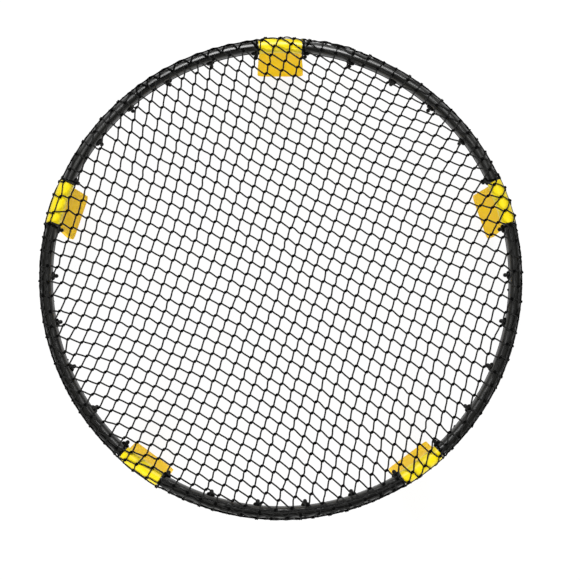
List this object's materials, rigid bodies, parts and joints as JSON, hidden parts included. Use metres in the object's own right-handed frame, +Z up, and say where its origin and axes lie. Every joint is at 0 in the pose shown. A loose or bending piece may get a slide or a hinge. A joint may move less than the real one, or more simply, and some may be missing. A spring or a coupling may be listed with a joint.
{
  "type": "roundnet frame",
  "caption": "Low round hoop of push-together tubes on folding legs, with a net stretched over it and held by hooks under the rim, for a ball game on a lawn.",
  "frame": {"origin": "on the ground, under the middle of the rim", "axes": "+Z up through the middle of the rim; +Y towards leg 1; legs 2 to 5 follow anticlockwise seen from above"},
  "size_m": [0.9184, 0.9205, 0.208],
  "materials": {
    "rim_plastic": "satin black ABS with faint drawing lines along the tube",
    "collar_plastic": "satin yellow ABS, fine moulded texture",
    "leg_plastic": "satin golden yellow ABS, fine moulded texture",
    "pin_steel": "turned steel",
    "hook_plastic": "matt black nylon",
    "net_twine": "braided black nylon twine"
  },
  "bodies": {
    "rim": {"rim_tube_1": "rim_plastic", "rim_tube_2": "rim_plastic", "rim_tube_3": "rim_plastic", "rim_tube_4": "rim_plastic", "rim_tube_5": "rim_plastic", "leg_collar_1": "collar_plastic", "leg_collar_2": "collar_plastic", "leg_collar_3": "collar_plastic", "leg_collar_4": "collar_plastic", "leg_collar_5": "collar_plastic", "hinge_pin_1": "pin_steel", "hinge_pin_2": "pin_steel", "hinge_pin_3": "pin_steel", "hinge_pin_4": "pin_steel", "hinge_pin_5": "pin_steel", "net_hooks_1": "hook_plastic", "net_hooks_2": "hook_plastic", "net_hooks_3": "hook_plastic", "net_hooks_4": "hook_plastic", "net_hooks_5": "hook_plastic", "net": "net_twine", "net_edge": "net_twine"},
    "folding_leg_1": {"leg_1": "leg_plastic"},
    "folding_leg_2": {"leg_2": "leg_plastic"},
    "folding_leg_3": {"leg_3": "leg_plastic"},
    "folding_leg_4": {"leg_4": "leg_plastic"},
    "folding_leg_5": {"leg_5": "leg_plastic"}
  },
  "joints": [
    {"name": "leg_fold_1", "type": "hinge", "parent": "rim", "child": "folding_leg_1", "pos_m": [0, 0.446, 0.168], "axis": [-1, 0, 0], "range_deg": [0, 90]},
    {"name": "leg_fold_2", "type": "hinge", "parent": "rim", "child": "folding_leg_2", "pos_m": [-0.42417, 0.13782, 0.168], "axis": [-0.309, -0.9511, 0], "range_deg": [0, 90]},
    {"name": "leg_fold_3", "type": "hinge", "parent": "rim", "child": "folding_leg_3", "pos_m": [-0.26215, -0.36082, 0.168], "axis": [0.809, -0.5878, 0], "range_deg": [0, 90]},
    {"name": "leg_fold_4", "type": "hinge", "parent": "rim", "child": "folding_leg_4", "pos_m": [0.26215, -0.36082, 0.168], "axis": [0.809, 0.5878, 0], "range_deg": [0, 90]},
    {"name": "leg_fold_5", "type": "hinge", "parent": "rim", "child": "folding_leg_5", "pos_m": [0.42417, 0.13782, 0.168], "axis": [-0.309, 0.9511, 0], "range_deg": [0, 90]}
  ]
}
